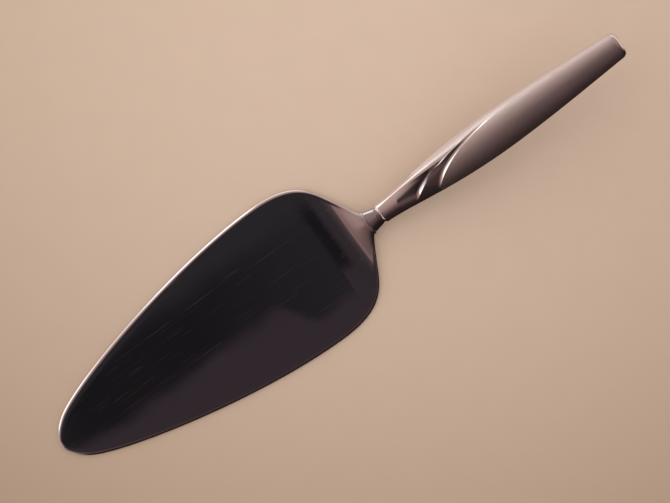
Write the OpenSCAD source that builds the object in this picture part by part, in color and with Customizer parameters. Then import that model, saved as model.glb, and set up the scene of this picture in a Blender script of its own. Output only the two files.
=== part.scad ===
// Cake server with a polished steel blade and a hollow handle of two stamped half shells.
// The blade lies flat on the table and its neck cranks the handle up, so that fingers fit under it.
// Millimetres. X runs along the server with the blade's tip at -X and the handle's butt at +X.
// Z is up, the blade's underside lies on Z = 0, and the origin is the middle of the base box.

/* [Blade] */
// Length of the blade, from its tip to the end of its neck
blade_len = 148; // [110:1:190]
// Greatest width of the blade
blade_w = 63; // [45:1:80]
// Thickness of the blade's sheet
blade_t = 1.5; // [1.2:0.1:2.2]
// How far the sheet is rounded back at the tip
tip_round = 1.1; // [0.6:0.1:2]
// Depth ground off the underside, which makes the flat that the blade rests on
ground_t = 0.04; // [0.02:0.01:0.08]

/* [Neck] */
// Width of the neck where it meets the collar
neck_w = 10; // [8.6:0.2:13]
// Height of the neck where it meets the collar
neck_h = 5.6; // [5:0.2:6.4]
// Length of the stretch that bends up to the handle
bend_len = 20; // [14:1:26]
// Length of the stretch that thickens into the neck
root_len = 7.5; // [6:0.5:12]
// Height of the handle's axis over the sheet's middle at the neck's end
bend_rise = 3; // [2.8:0.2:7]

/* [Tang] */
// Length of the tang from the neck's end into the handle
tang_len = 52; // [35:1:70]
// Width of the tang at the neck
tang_w = 4.2; // [3.6:0.2:4.4]
// Width of the tang at its far end
tang_end_w = 3.2; // [2.5:0.1:3.6]
// Thickness of the tang
tang_t = 2; // [1.6:0.1:2.1]

/* [Collar] */
// Length of the collar that shows, from the neck to the handle's mouth
collar_len = 7; // [5.6:0.2:10]
// Thickness of the bead round the collar's front end
bead_d = 1; // [0.6:0.1:1.6]
// How far the bead stands out from the neck
bead_proud = 0.2; // [0.1:0.05:0.4]
// Width of the collar at its rear end
collar_end_w = 7.5; // [6.8:0.1:7.9]
// Height of the collar at its rear end
collar_end_h = 5.5; // [5.2:0.1:5.7]
// Length of the groove in front of the handle's mouth
groove_len = 1.6; // [1:0.1:2.2]
// Depth of that groove
groove_d = 0.3; // [0.1:0.05:0.5]
// Length of the spigot that reaches into the handle's mouth
spigot_len = 3; // [2:0.5:5]
// Clearance round the spigot and round the tang in the collar
fit_gap = 0.1; // [0.05:0.05:0.2]

/* [Handle] */
// Distance from the neck's end to the handle's butt, along the handle
handle_len = 119; // [100:1:140]
// Greatest width of the handle
handle_w = 16.4; // [14:0.2:20]
// Greatest height of the handle
handle_h = 11.6; // [10:0.2:15]
// Distance from the neck's end to the handle's greatest width
swell_at = 61; // [50:1:72]
// Width of the handle's mouth
mouth_w = 8.2; // [8:0.1:9.4]
// Height of the handle's mouth
mouth_h = 5.9; // [5.7:0.1:6.6]
// Rounding of the mouth's rim
mouth_r = 0.3; // [0.2:0.05:0.4]
// Width of the handle at its butt, before the corners are rounded
butt_w = 10.4; // [8:0.2:13]
// Height of the handle at its butt, before the corners are rounded
butt_h = 7.4; // [6.4:0.2:10]
// Rounding of the butt's edge
butt_r = 2.4; // [1:0.2:2.8]
// Wall of the stamped half shells
wall_t = 0.6; // [0.5:0.05:0.8]
// Angle at which the handle rises from the table
handle_tilt = 12.5; // [8:0.5:16]

/* [Flutes] */
// Greatest depth of the hollows between the flutes' crests
flute_d = 1.7; // [0.8:0.1:1.8]
// Distance over which a hollow falls behind a crest
fall_len = 16; // [14:0.5:24]
// Distance over which it rises again to the next crest
rise_len = 3.8; // [2.4:0.2:5.6]
// Distance from the neck's end to the point of the front leaf
leaf_tip_at = 14.6; // [11:0.2:16]
// How far the front leaf's crest runs back by the handle's edge
leaf_back = 4; // [3:0.5:6]
// Distance of the front leaf's long crest from the handle's middle
leaf_side_at = 4.3; // [3.6:0.1:5]
// Width over which the front hollow climbs to that crest
leaf_side_w = 1.5; // [0.8:0.1:2.4]
// Distance from the neck's end to the second crest, at its low end
crest_2_at = 20.6; // [19:0.2:24]
// Distance from the second crest to the third one, which starts the plain grip
crest_step = 10.2; // [7:0.2:12]
// How far the second and third crests sweep back
sweep = 26.2; // [18:0.2:30]
// Distance from the neck's end to where the flutes have run out
flute_end = 63; // [56:1:75]

/* [Joining] */
// Thickness of the solder between the half shells
solder_t = 0.1; // [0.05:0.05:0.2]
// How far the filler reaches past the tang's end
filler_past = 5; // [2:1:10]
// Gap that the filler's shrinking leaves inside the shells
filler_gap = 0.25; // [0.15:0.05:0.4]

/* [Hidden] */
// Reach of a cutting tool past the surface that it cuts
overrun = 1;
// Mesh steps of the blade: along each curve of its outline, and round its section
outline_steps = [9, 16, 12, 7];
section_steps = 24;
// Mesh steps of the collar: round it, and along its bead and its groove
collar_turn = 48;
bead_points = 8;
groove_points = 8;
// Mesh steps of a half shell: round the outside, and along each of its stretches
shell_turn = 24;
lip_steps = 3;
leaf_steps = 11;
flute_steps = 9;
swell_steps = 12;
grip_steps = 9;
butt_steps = 6;
filler_steps = 18;
// Mesh steps along each curve of the handle's side
side_steps = 24;

// Shares of the blade's length and half width that place its outline's points and handles
nose_share = [0.053, 0.32];
nose_start_share = 0.13;
nose_end_share = [0.029, 0.254];
side_start_share = [0.137, 0.552];
side_end_share = 0.51;
widest_share = 0.77;
heel_start_share = 0.917;
heel_end_share = [0.932, 0.714];
heel_share = [0.969, 0.4];
root_start_share = [0.979, 0.314];
root_end_share = [0.99, 0.05];

// Shares of the swell's distance that shape the handle's side
mouth_pull_share = 0.18;
swell_lead_share = 0.555;
swell_trail_share = 0.3;
butt_pull_share = 0.3;
butt_lift_share = 0.4;

// Angles round the section, in degrees from the handle's edge
leaf_tip_turn = 69;
sweep_stop_turn = 140;
// Share of the handle's length where the swept mesh lines stand square again
square_again_share = 0.94;
// Share of the flutes' reach over which they run out
flute_fade_share = 0.24;
// Share of the leaf's run that it keeps on its upper side
leaf_upper_share = 0.85;
// Power that curves the leaf's crest back toward the handle's edge, and on its upper side
leaf_power = 1.3;
leaf_upper_power = 2;
// Power of the sine that fades the flutes toward the handle's edges and flattens the hollows' floors
edge_power = 3;
// Power of the neck's ridge across the blade: a peak where it starts, an ellipse at the neck's end
peak_power = 1.5;
ellipse_power = 0.5;

// Curves and blends

function smooth(t) = let (c = min(1, max(0, t))) c * c * (3 - 2 * c);

function bezier(p, q, r, s, t) =
    pow(1 - t, 3) * p + 3 * pow(1 - t, 2) * t * q + 3 * (1 - t) * t * t * r + pow(t, 3) * s;

function bezier_run(p, q, r, s, steps) =
    [for (i = [1:steps]) bezier(p, q, r, s, i / steps)];

// Last entry of a rising list's interval in which x lies
function find_span(list, x, i = 0) =
    i >= len(list) - 2 || x < list[i + 1].x ? i : find_span(list, x, i + 1);

// Value at x of a curve given as a list of points
function value_at(list, x) =
    let (
        i = find_span(list, x),
        a = list[i],
        b = list[i + 1]
    )
    a.y + (b.y - a.y) * min(1, max(0, (x - a.x) / (b.x - a.x)));

// Triangles of a skin between two rows of points, which may close round
function skin(rows, columns, closed, first = 0) =
    let (stride = closed ? columns : columns + 1)
    [
        for (i = [0:rows - 1])
            for (j = [0:columns - 1])
                let (
                    k = closed ? (j + 1) % columns : j + 1,
                    a = first + i * stride + j,
                    b = first + i * stride + k,
                    c = a + stride,
                    d = b + stride
                )
                each [[a, c, b], [b, c, d]]
    ];

function turned_over(faces) = [for (f = faces) [f[2], f[1], f[0]]];

// Blade

half_w = blade_w / 2;
neck_half = neck_w / 2;

// A point of the outline from its shares of the length and of the half width
function plan_point(share) = [blade_len * share.x, half_w * share.y];

nose = plan_point(nose_share);
widest = [blade_len * widest_share, half_w];
heel = plan_point(heel_share);
neck_end = [blade_len, neck_half];

// Half widths of the blade against the distance from its tip
blade_plan = concat(
    [[0, 0]],
    bezier_run(
        [0, 0],
        [0, half_w * nose_start_share],
        plan_point(nose_end_share),
        nose,
        outline_steps[0]
    ),
    bezier_run(
        nose,
        plan_point(side_start_share),
        [blade_len * side_end_share, half_w],
        widest,
        outline_steps[1]
    ),
    bezier_run(
        widest,
        [blade_len * heel_start_share, half_w],
        plan_point(heel_end_share),
        heel,
        outline_steps[2]
    ),
    bezier_run(
        heel,
        plan_point(root_start_share),
        [blade_len * root_end_share.x, neck_half + half_w * root_end_share.y],
        neck_end,
        outline_steps[3]
    )
);

// The sheet's middle, its slope and its thickening, against the distance before the neck's end
function bend_part(before) = max(0, 1 - before / bend_len);

function middle_z(before) =
    let (
        t = bend_part(before),
        lean_rise = bend_len * tan(handle_tilt)
    )
    blade_t / 2 - ground_t + bend_rise * t * t * (3 - 2 * t) + lean_rise * t * t * (t - 1);

function middle_slope(before) =
    let (t = bend_part(before))
    bend_rise * 6 * t * (1 - t) / bend_len + tan(handle_tilt) * t * (3 * t - 2);

function root_part(before) = smooth(1 - before / root_len);

// Half height of the section at share v of its half width
function sheet_height(from_tip, half, v) =
    let (
        reach = min(1, from_tip / tip_round),
        sheet = blade_t / 2 * sqrt(1 - pow(1 - reach, 2)),
        power = max(2, 2 * half / blade_t),
        root = root_part(blade_len - from_tip),
        ridge = (neck_h - blade_t) / 2 * root,
        peak = peak_power + (ellipse_power - peak_power) * root
    )
    sheet * sqrt(max(0, 1 - pow(v, power))) + ridge * pow(max(0, 1 - v * v), peak);

// Share of the half width at a turn round the section, closer together where the edge is rounded
function section_share(half, turn) =
    let (power = max(2, 2 * half / blade_t))
    sign(cos(turn)) * pow(abs(cos(turn)), 2 / power);

// One ring of the blade, square to the sheet's middle line
function blade_ring(station) =
    let (
        before = blade_len - station.x,
        slope = atan(middle_slope(before))
    )
    [
        for (k = [0:section_steps - 1])
            let (
                turn = 360 * k / section_steps,
                v = section_share(station.y, turn),
                up = sign(sin(turn)) * sheet_height(station.x, station.y, abs(v))
            )
            [
                -before - up * sin(slope),
                station.y * v,
                middle_z(before) + up * cos(slope)
            ]
    ];

module blade_skin() {
    stations = [for (i = [1:len(blade_plan) - 1]) blade_plan[i]];
    rings = len(stations);
    tip = [-blade_len, 0, middle_z(blade_len)];
    points = concat([for (s = stations) each blade_ring(s)], [tip]);
    last = (rings - 1) * section_steps;
    tip_fan = [for (k = [0:section_steps - 1]) [len(points) - 1, k, (k + 1) % section_steps]];
    end_fan = [for (k = [1:section_steps - 2]) [last, last + k + 1, last + k]];
    polyhedron(points, concat(skin(rings - 1, section_steps, true), tip_fan, end_fan));
}

// Handle frame: U runs along the handle from the middle of the neck's end
module in_handle() {
    translate([0, 0, middle_z(0)]) rotate([0, -handle_tilt, 0]) children();
}

module tang_bar() {
    translate([0, 0, -tang_t / 2])
        linear_extrude(tang_t)
            polygon([
                [-overrun, -tang_w / 2],
                [collar_len + spigot_len, -tang_w / 2],
                [tang_len - tang_end_w / 2, -tang_end_w / 2],
                [tang_len, 0],
                [tang_len - tang_end_w / 2, tang_end_w / 2],
                [collar_len + spigot_len, tang_w / 2],
                [-overrun, tang_w / 2]
            ]);
}

// Forged blade with its neck and tang: the skin is ground flat below, and the tang grows from the neck
module blade() {
    color([0.62, 0.60, 0.62])
        union() {
            difference() {
                blade_skin();
                translate([-blade_len - overrun, -half_w - overrun, -blade_t])
                    cube([blade_len + overrun, blade_w + 2 * overrun, blade_t]);
            }
            in_handle() tang_bar();
        }
}

// Collar

groove_from = collar_len - groove_len;
spigot_half_w = mouth_w / 2 - wall_t - fit_gap;
spigot_half_h = mouth_h / 2 - wall_t - fit_gap;

// Half sizes of the collar's section and the distance from the neck's end, from the bead to the groove
function bead_station(turn) =
    let (proud = bead_proud + bead_d / 2 * (cos(turn) - 1))
    [neck_half + proud, neck_h / 2 + proud, bead_d / 2 * (1 + sin(turn))];

function groove_station(t) =
    let (dip = groove_d * sin(180 * t))
    [collar_end_w / 2 - dip, collar_end_h / 2 - dip, groove_from + groove_len * t];

collar_profile = concat(
    [for (i = [0:bead_points]) bead_station(-90 + 180 * i / bead_points)],
    [for (i = [0:groove_points]) groove_station(i / groove_points)]
);

// The collar is oval like the neck, and grows rounder toward the handle's mouth
module collar_skin() {
    rings = len(collar_profile);
    points = [
        for (p = collar_profile)
            for (k = [0:collar_turn - 1])
                let (turn = 360 * k / collar_turn)
                [p.z, p.x * cos(turn), p.y * sin(turn)]
    ];
    last = (rings - 1) * collar_turn;
    start_fan = [for (k = [1:collar_turn - 2]) [0, k, k + 1]];
    end_fan = [for (k = [1:collar_turn - 2]) [last, last + k + 1, last + k]];
    polyhedron(points, concat(skin(rings - 1, collar_turn, true), start_fan, end_fan));
}

// Oval plug that centres the handle's mouth
module spigot() {
    translate([collar_len - overrun, 0, 0])
        rotate([0, 90, 0])
            linear_extrude(spigot_len + overrun)
                polygon([
                    for (k = [0:collar_turn - 1])
                        let (turn = 360 * k / collar_turn)
                        [spigot_half_h * cos(turn), spigot_half_w * sin(turn)]
                ]);
}

module collar() {
    color([0.66, 0.63, 0.64])
        in_handle()
            difference() {
                union() {
                    collar_skin();
                    spigot();
                }
                translate([-overrun, -tang_w / 2 - fit_gap, -tang_t / 2 - fit_gap])
                    cube([
                        collar_len + spigot_len + 2 * overrun,
                        tang_w + 2 * fit_gap,
                        tang_t + 2 * fit_gap
                    ]);
            }
}

// Handle

butt_from = handle_len - butt_r;

// Side of the handle: half size against the distance from the neck's end
function side_curve(mouth, swell, butt) =
    concat(
        [[collar_len, mouth]],
        bezier_run(
            [collar_len, mouth],
            [collar_len + swell_at * mouth_pull_share, mouth],
            [swell_at * swell_lead_share, swell],
            [swell_at, swell],
            side_steps
        ),
        bezier_run(
            [swell_at, swell],
            [swell_at + (handle_len - swell_at) * swell_trail_share, swell],
            [
                handle_len - (handle_len - swell_at) * butt_pull_share,
                butt + (swell - butt) * butt_lift_share
            ],
            [handle_len, butt],
            side_steps
        )
    );

width_curve = side_curve(mouth_w / 2, handle_w / 2, butt_w / 2);
height_curve = side_curve(mouth_h / 2, handle_h / 2, butt_h / 2);

// How far the side draws in at the mouth's rim, outside alone, and at the butt's rounded edge
function drawn_in(u, depth) =
    let (
        rim = depth > 0 ? 0 : min(1, max(0, 1 - (u - collar_len) / mouth_r)),
        corner_r = butt_r - depth,
        corner = min(1, max(0, (u - butt_from) / corner_r))
    )
    mouth_r * (1 - sqrt(1 - rim * rim)) + corner_r * (1 - sqrt(1 - corner * corner));

// Distance at which the wall's inside lies behind the outside's distance u
function behind(u) = min(u, butt_from) + max(0, u - butt_from) * (butt_r - wall_t) / butt_r;

// Crests of the flutes against the turn round the section

function swept(turn) = turn * turn / (180 * 180 - turn * turn);

crest_3_at = crest_2_at + crest_step;

function crest_line(at, reach, turn) = at + reach * swept(min(turn, sweep_stop_turn));

function leaf_line(turn) =
    turn < leaf_tip_turn
    ? leaf_tip_at + leaf_back * pow((leaf_tip_turn - turn) / leaf_tip_turn, leaf_power)
    : leaf_tip_at + leaf_back * leaf_upper_share
        * pow((turn - leaf_tip_turn) / (sweep_stop_turn - leaf_tip_turn), leaf_upper_power);

// Hollow between two crests: a ramp that falls to one, and a rounded rise from there to the next crest
function hollow(from, to, u) =
    let (
        fall = min(1, max(0, (u - from) / fall_len)),
        rise = min(1, max(0, (to - u) / rise_len))
    )
    fall * rise * (2 - rise);

// Height of the flutes' relief: zero on the crests and the plain grip, and below zero in the hollows.
// The distance aside is counted from the handle's middle towards +Y.
function relief(u, turn, aside) =
    let (
        second = crest_line(crest_2_at, sweep, turn),
        third = second + crest_step,
        beside = smooth((leaf_side_at - aside) / leaf_side_w),
        front = u < second ? hollow(leaf_line(turn), second, u) * beside : hollow(second, third, u),
        edges = pow(sin(turn), edge_power),
        run = flute_end * flute_fade_share,
        tail = 1 - smooth((u - flute_end + run) / run)
    )
    -flute_d * front * edges * tail;

// Point of the handle's skin at distance u and turn, set in by depth.
// The turn runs over one half shell, from the edge at -Y to the edge at +Y.
function skin_point(u, turn, depth) =
    let (
        inward = drawn_in(u, depth),
        a = value_at(width_curve, u) - inward,
        b = value_at(height_curve, u) - inward,
        out = [b * cos(turn), a * sin(turn)] / norm([b * cos(turn), a * sin(turn)]),
        lift = relief(u, turn, -a * cos(turn))
    )
    [u, -(a - depth) * cos(turn) - lift * out.x, (b - depth) * sin(turn) + lift * out.y];

// Stations along a half shell. Between the crests the mesh lines lean back with them.
function run_between(from, to, steps) = [for (i = [1:steps]) from + (to - from) * i / steps];

square_again = handle_len * square_again_share;

stations = concat(
    [collar_len],
    run_between(collar_len, collar_len + mouth_r, lip_steps),
    run_between(collar_len + mouth_r, crest_2_at, leaf_steps),
    run_between(crest_2_at, crest_3_at, flute_steps),
    run_between(crest_3_at, swell_at, swell_steps),
    run_between(swell_at, butt_from, grip_steps),
    [for (i = [1:butt_steps]) butt_from + butt_r * sin(90 * i / butt_steps)]
);

function lean(s) =
    s < crest_2_at
    ? smooth((s - collar_len - mouth_r) / (crest_2_at - collar_len - mouth_r))
    : 1 - smooth((s - crest_3_at) / (square_again - crest_3_at));

function leaned(s, turn) = s + sweep * lean(s) * swept(min(turn, sweep_stop_turn));

// Stamped half shell over the plane that parts the handle, with its wall, closed butt and open mouth
module half_shell() {
    inner_turn = shell_turn / 2;
    rows = len(stations) - 1;
    outside = [
        for (s = stations)
            for (j = [0:shell_turn])
                let (turn = 180 * j / shell_turn)
                skin_point(leaned(s, turn), turn, 0)
    ];
    inside = [
        for (s = stations)
            for (j = [0:inner_turn])
                let (turn = 180 * j / inner_turn)
                skin_point(behind(leaned(s, turn)), turn, wall_t)
    ];
    first = len(outside);
    out_row = shell_turn + 1;
    in_row = inner_turn + 1;
    near_edge = [
        for (i = [0:rows - 1])
            let (
                a = i * out_row,
                b = first + i * in_row
            )
            each [[a, b, a + out_row], [b, b + in_row, a + out_row]]
    ];
    far_edge = [
        for (i = [0:rows - 1])
            let (
                a = i * out_row + shell_turn,
                b = first + i * in_row + inner_turn
            )
            each [[b, a, a + out_row], [b, a + out_row, b + in_row]]
    ];
    mouth = [
        for (k = [0:inner_turn - 1])
            let (
                a = 2 * k,
                b = first + k
            )
            each [[a, a + 1, b], [a + 1, b + 1, b], [a + 1, a + 2, b + 1]]
    ];
    out_end = rows * out_row;
    in_end = first + rows * in_row;
    out_cap = [for (j = [1:shell_turn - 1]) [out_end, out_end + j + 1, out_end + j]];
    in_cap = [for (j = [1:inner_turn - 1]) [in_end, in_end + j, in_end + j + 1]];
    end_edge = [
        [out_end, in_end, in_end + inner_turn],
        [out_end, in_end + inner_turn, out_end + shell_turn]
    ];
    faces = concat(
        skin(rows, shell_turn, false),
        turned_over(skin(rows, inner_turn, false, first)),
        near_edge,
        far_edge,
        mouth,
        out_cap,
        in_cap,
        end_edge
    );
    polyhedron(concat(outside, inside), turned_over(faces));
}

module handle_upper_shell() {
    color([0.72, 0.66, 0.65]) in_handle() translate([0, 0, solder_t / 2]) half_shell();
}

// The lower half is the same stamping, turned half a turn round the handle's axis
module handle_lower_shell() {
    color([0.66, 0.60, 0.60])
        in_handle() rotate([180, 0, 0]) translate([0, 0, solder_t / 2]) half_shell();
}

// Thin solder in the joint between the half shells, round both sides and the butt
module seam_solder() {
    out_edge = [for (s = stations) let (p = skin_point(s, 0, 0)) [p.x, p.y]];
    in_edge = [for (s = stations) let (p = skin_point(behind(s), 0, wall_t)) [p.x, p.y]];
    last = len(stations) - 1;
    color([0.80, 0.78, 0.74])
        in_handle()
            translate([0, 0, -solder_t / 2])
                linear_extrude(solder_t)
                    polygon(concat(
                        out_edge,
                        [for (i = [0:last]) [out_edge[last - i].x, -out_edge[last - i].y]],
                        [for (p = in_edge) [p.x, -p.y]],
                        [for (i = [0:last]) in_edge[last - i]]
                    ));
}

// Filler cast round the tang inside the handle
module filler_skin() {
    from = collar_len + spigot_len;
    to = tang_len + filler_past;
    columns = shell_turn;
    points = [
        for (i = [0:filler_steps])
            let (u = from + (to - from) * i / filler_steps)
            for (j = [0:columns - 1])
                let (
                    turn = 360 * j / columns,
                    upper = turn < 180,
                    p = skin_point(u, upper ? turn : turn - 180, wall_t + filler_gap)
                )
                upper ? p : [p.x, -p.y, -p.z]
    ];
    last = filler_steps * columns;
    start_fan = [for (j = [1:columns - 2]) [0, j, j + 1]];
    end_fan = [for (j = [1:columns - 2]) [last, last + j + 1, last + j]];
    faces = concat(skin(filler_steps, columns, true), start_fan, end_fan);
    polyhedron(points, turned_over(faces));
}

module handle_filler() {
    color([0.82, 0.79, 0.72])
        in_handle()
            difference() {
                filler_skin();
                tang_bar();
            }
}

// Place

// The butt's rearmost point and the tip set the middle of the base box
butt_reach = max([
    for (s = stations)
        let (p = skin_point(s, 90, 0))
        p.x * cos(handle_tilt) + (p.z + solder_t / 2) * sin(handle_tilt)
]);
middle_x = (butt_reach - blade_len) / 2;

module placed() {
    translate([-middle_x, 0, 0]) children();
}

placed() blade();
placed() collar();
placed() handle_upper_shell();
placed() handle_lower_shell();
placed() seam_solder();
placed() handle_filler();
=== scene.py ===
# %% [markdown]
# A cake server, dressed
#
# The server lies flat on its blade, and its hollow handle rises over the table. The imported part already
# holds every piece at its real size. This lesson gives the pieces their looks: smooth surfaces worked out
# from formulas, and metals that are polished, satin or soldered. A polished blade shows little of its own
# colour. It shows the room, so the light and what stands round the server matter as much as the metal.
#
# Sizes are in metres and are those of the solids. Places along the server are counted from the neck's
# end, where the collar starts.

# %% Load the frame
import math

import bpy
import numpy as np
from mathutils import Matrix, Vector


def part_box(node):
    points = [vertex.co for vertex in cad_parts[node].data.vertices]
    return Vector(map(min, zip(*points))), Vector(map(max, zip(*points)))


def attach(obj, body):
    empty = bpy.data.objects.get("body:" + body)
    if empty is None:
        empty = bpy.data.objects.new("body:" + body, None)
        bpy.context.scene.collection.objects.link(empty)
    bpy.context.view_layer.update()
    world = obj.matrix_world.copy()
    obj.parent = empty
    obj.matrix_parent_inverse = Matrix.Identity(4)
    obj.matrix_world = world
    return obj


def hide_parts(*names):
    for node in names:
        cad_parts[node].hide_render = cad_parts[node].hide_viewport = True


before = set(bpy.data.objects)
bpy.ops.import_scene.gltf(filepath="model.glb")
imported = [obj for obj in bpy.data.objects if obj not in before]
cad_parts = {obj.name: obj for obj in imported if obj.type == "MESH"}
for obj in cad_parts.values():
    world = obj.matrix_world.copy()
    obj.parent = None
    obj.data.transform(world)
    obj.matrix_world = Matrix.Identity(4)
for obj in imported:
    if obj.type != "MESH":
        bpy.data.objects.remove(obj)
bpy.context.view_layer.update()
MM = 0.001

# %% [markdown]
# The camera
#
# The photograph looks almost straight down, and the server runs in it from the lower left to the upper
# right. So the camera hangs 0.6 m over the table and is turned about its own line of sight. Its place was
# found by matching the tip, the blade's widest points, the collar and the butt.

# %% Camera
PHOTO_W = 670
FOCAL_PX = 1525
SENSOR = 36.0
NEAREST, FARTHEST = 0.05, 20
CAMERA_AT = (-0.0117, 0.0293, 0.6)
CAMERA_TURNS = (-36.18, -1.77, -2.58)


def make_camera():
    """A camera that looks down -Z, turned about Z, then leaned a little about its own X and Y."""
    data = bpy.data.cameras.new("camera")
    data.sensor_width = SENSOR
    data.lens = FOCAL_PX / PHOTO_W * SENSOR
    data.clip_start, data.clip_end = NEAREST, FARTHEST
    camera = bpy.data.objects.new("camera", data)
    bpy.context.scene.collection.objects.link(camera)
    turns = [Matrix.Rotation(math.radians(a), 4, axis) for a, axis in zip(CAMERA_TURNS, "ZXY")]
    camera.matrix_world = Matrix.Translation(CAMERA_AT) @ turns[0] @ turns[1] @ turns[2]
    return camera


camera = make_camera()
bpy.context.scene.camera = camera
print("camera: lens", round(camera.data.lens, 1), "mm at", CAMERA_AT)

# %% [markdown]
# Surfaces from arrays
#
# A shape with no flat faces could be modelled by hand and smoothed, but as a grid it is a formula: one
# number runs along it and one round it. All points are worked out at once as arrays, the faces join the
# corners of each grid square, and a fan closes a ring of points.


# %% Helpers for meshes
def grid_faces(rows, columns, closed, first=0):
    """Squares between neighbouring rows and columns of a grid of points, wound to face outwards."""
    row = np.arange(rows - 1)[:, None]
    column = np.arange(columns if closed else columns - 1)[None, :]
    after = (column + 1) % columns
    a, b = row * columns + column, row * columns + after
    corners = np.stack([a, b, b + columns, a + columns], axis=-1).reshape(-1, 4)
    return (corners + first).tolist()


def fan_faces(ring, middle):
    """Triangles from each side of a closed ring of point numbers to one middle point."""
    return np.stack([ring, np.roll(ring, -1), np.full(len(ring), middle)], axis=-1).tolist()


def make_piece(name, points, faces, sharp_above, values=None):
    """A mesh object at the origin, shaded smooth but for edges that turn by more than sharp_above degrees.
    values holds one number a point for each named attribute."""
    mesh = bpy.data.meshes.new(name)
    mesh.from_pydata(points.tolist(), [], faces)
    mesh.polygons.foreach_set("use_smooth", np.ones(len(mesh.polygons), dtype=bool))
    for key, numbers in (values or {}).items():
        layer = mesh.attributes.new(key, "FLOAT", "POINT")
        layer.data.foreach_set("value", np.ascontiguousarray(numbers, dtype=np.float32))
    mesh.set_sharp_from_angle(angle=math.radians(sharp_above))
    mesh.update()
    piece = bpy.data.objects.new(name, mesh)
    bpy.context.scene.collection.objects.link(piece)
    print(f"{name}: {len(points)} points, {len(faces)} faces")
    return piece


print("3 rows of 4 points join in", len(grid_faces(3, 4, False)), "squares")

# %% [markdown]
# Curves and eases
#
# Nearly every line on the server either leaves and arrives in a chosen direction, or changes softly from
# one value to another. A Bezier curve does the first and a smoothstep the second, and neither has a
# corner that a mirror would show.


# %% Helpers for curves
def smooth(t):
    """Smoothstep: 0 below 0, 1 above 1, and t^2 (3 - 2 t) between."""
    c = np.clip(t, 0, 1)
    return c * c * (3 - 2 * c)


def soft_min(a, b, ease_over):
    """The smaller of two arrays, rounded where they cross: (a + b - sqrt((a - b)^2 + e^2) + e) / 2."""
    return np.maximum(0, a + b + ease_over - np.sqrt((a - b) ** 2 + ease_over**2)) / 2


def bezier(p, q, r, s, t):
    """Cubic Bezier curve through p and s, pulled towards q and r, for an array of t."""
    t = np.asarray(t)[:, None]
    p, q, r, s = (np.asarray(x, dtype=float) for x in (p, q, r, s))
    return (1 - t) ** 3 * p + 3 * (1 - t) ** 2 * t * q + 3 * (1 - t) * t**2 * r + t**3 * s


print("a bow's middle:", bezier((0, 0), (0, 1), (1, 1), (1, 0), [0.5])[0].tolist())

# %% [markdown]
# The blade's outline
#
# The real blade is forged from one bar: a thin sheet in front, and behind it a neck that thickens and
# bends up to the handle. Its outline could be traced point by point, but a trace is never quite even, and
# a polished edge shows it. Four Bezier curves that meet in one direction are even by themselves.

# %% The blade's outline
BLADE_LEN = 148 * MM
BLADE_HALF = 31.5 * MM
NECK_HALF_W = 5.0 * MM
NECK_SHARE = NECK_HALF_W / BLADE_HALF
NECK_PULL = 0.05
# Points of the curves from the tip to the neck, in shares of the blade's length and half width.
OUTLINE = (
    ((0, 0), (0, 0.13), (0.029, 0.254), (0.053, 0.32)),
    ((0.053, 0.32), (0.137, 0.552), (0.51, 1), (0.77, 1)),
    ((0.77, 1), (0.917, 1), (0.932, 0.714), (0.969, 0.4)),
    ((0.969, 0.4), (0.979, 0.314), (0.99, NECK_SHARE + NECK_PULL), (1, NECK_SHARE)),
)
OUTLINE_STEPS = (70, 90, 80, 50)
TIP_CROWDING = 1.6


def blade_outline():
    """Distances from the tip and half widths. On the first curve t^1.6 crowds the points at the tip."""
    runs = []
    for curve, steps in zip(OUTLINE, OUTLINE_STEPS):
        t = np.arange(1, steps + 1) / steps
        if not runs:
            t = t**TIP_CROWDING
        runs.append(bezier(*curve, t) * np.array([BLADE_LEN, BLADE_HALF]))
    return np.vstack(runs)


outline = blade_outline()
print("outline:", len(outline), "points, half width at most", round(outline[:, 1].max(), 4))

# %% [markdown]
# The bend
#
# Behind the blade the neck rises to the handle in one easy bend. A curve modifier could bend a flat
# blade, but its path would have to be matched to the solid by hand. A formula for the middle line also
# gives the slope, so every ring can stand square to it. This one is a Hermite curve, flat at first and at
# the handle's tilt in the end.

# %% The blade's middle line
SHEET_T = 1.5 * MM
GROUND_T = 0.04 * MM
BEND_LEN = 20 * MM
BEND_RISE = 3.0 * MM
TILT = math.radians(12.5)


def neck_line(before):
    """Height and slope of the sheet's middle at a distance before the neck's end. With t from 0 where the
    bend starts to 1 at its end, the height is rise t^2 (3 - 2 t) + length tan(tilt) t^2 (t - 1)."""
    t = np.maximum(0, 1 - before / BEND_LEN)
    rise = BEND_LEN * math.tan(TILT)
    height = SHEET_T / 2 - GROUND_T + BEND_RISE * t**2 * (3 - 2 * t) + rise * t**2 * (t - 1)
    slope = BEND_RISE * 6 * t * (1 - t) / BEND_LEN + math.tan(TILT) * t * (3 * t - 2)
    return height, slope


neck_z, neck_slope = neck_line(0.0)
print("neck's end: height", round(neck_z, 5), "slope", round(neck_slope, 3))

# %% [markdown]
# The handle's own frame
#
# Tang, collar and handle are straight along one raised axis. They are worked out as if it lay level, and
# one function puts them in place. Turning the finished objects would look the same, but a finished piece
# keeps its place in its mesh, with the object at the origin.

# %% From the handle's frame to the world
blade_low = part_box("blade")[0]
NECK_X = blade_low[0] + BLADE_LEN


def in_handle(u, y, z):
    """Places handle coordinates in the world, with U along the handle's axis from the neck's end (X, Z):
    x = X + u cos(tilt) - z sin(tilt) and up = Z + u sin(tilt) + z cos(tilt)."""
    x = NECK_X + u * math.cos(TILT) - z * math.sin(TILT)
    up = neck_z + u * math.sin(TILT) + z * math.cos(TILT)
    return np.stack(np.broadcast_arrays(x, y, up), axis=-1)


print("100 mm along the axis:", in_handle(100 * MM, 0, 0).round(4).tolist())

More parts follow.
